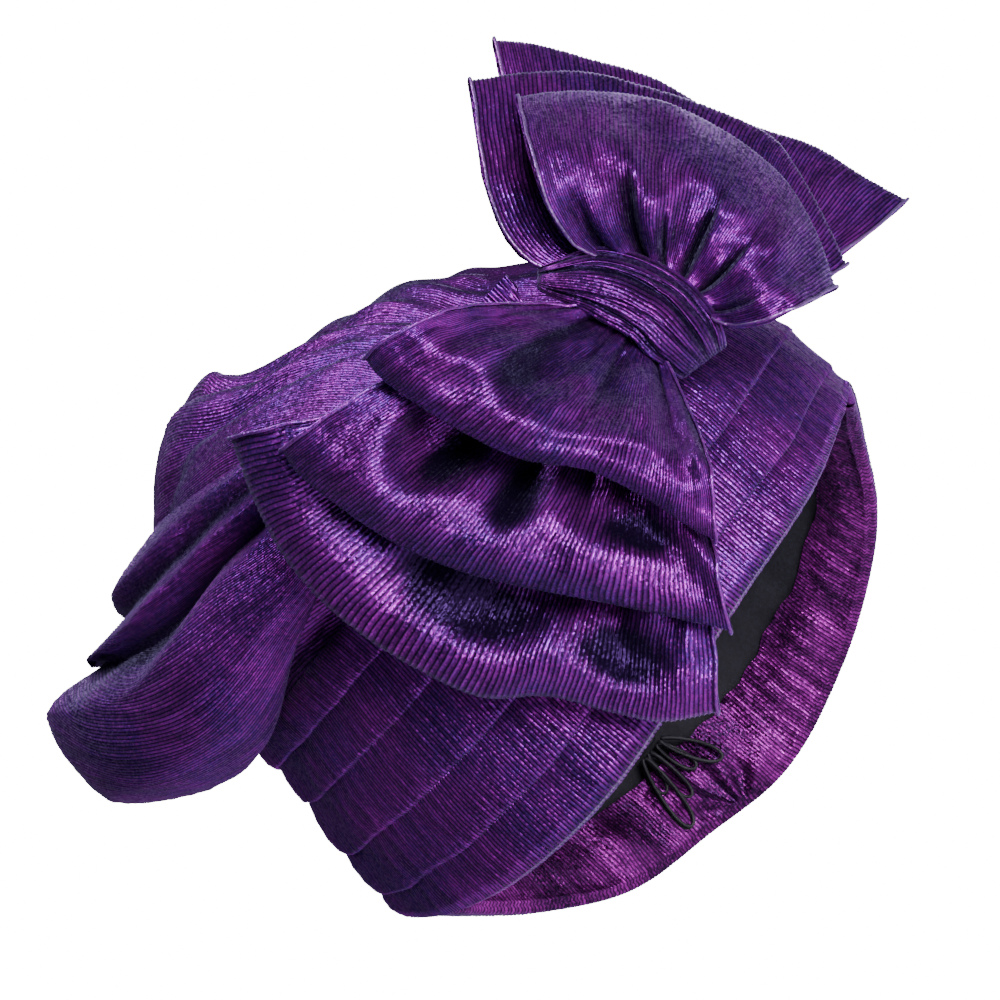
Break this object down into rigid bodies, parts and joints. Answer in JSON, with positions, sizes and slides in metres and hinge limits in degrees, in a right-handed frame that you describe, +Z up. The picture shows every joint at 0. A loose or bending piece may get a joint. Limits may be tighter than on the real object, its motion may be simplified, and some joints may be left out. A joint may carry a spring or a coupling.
{
  "type": "turban cap",
  "caption": "Soft pre-tied turban cap with a tucked brow band, a draped side flop, a black lining and a large gathered bow of layered loops.",
  "frame": {"origin": "middle of the head opening, at brow level, inside the hollow that the head fills", "axes": "+X to the wearer's left, -Y to the front, +Z up through the crown"},
  "size_m": [0.2454, 0.2539, 0.1731],
  "materials": {
    "wrap_cloth": "crinkle-pleated metallic purple cloth, dark and navy where it turns from the light, with bright magenta glints on its ribs",
    "lining": "thin matt black lining cloth",
    "ribbon": "narrow black satin ribbon"
  },
  "bodies": {
    "root": {"cap_crown": "wrap_cloth", "head_lining": "lining", "brow_band": "wrap_cloth", "nape_facing": "wrap_cloth", "ribbon_knot": "ribbon", "ribbon_loop_left": "ribbon", "ribbon_loop_right": "ribbon", "side_drape": "wrap_cloth", "bow_knot": "wrap_cloth", "knot_tab": "wrap_cloth", "loop_left_front": "wrap_cloth", "loop_left_middle": "wrap_cloth", "loop_left_back": "wrap_cloth", "loop_right_front": "wrap_cloth", "loop_right_middle": "wrap_cloth", "loop_right_back": "wrap_cloth"}
  },
  "joints": []
}
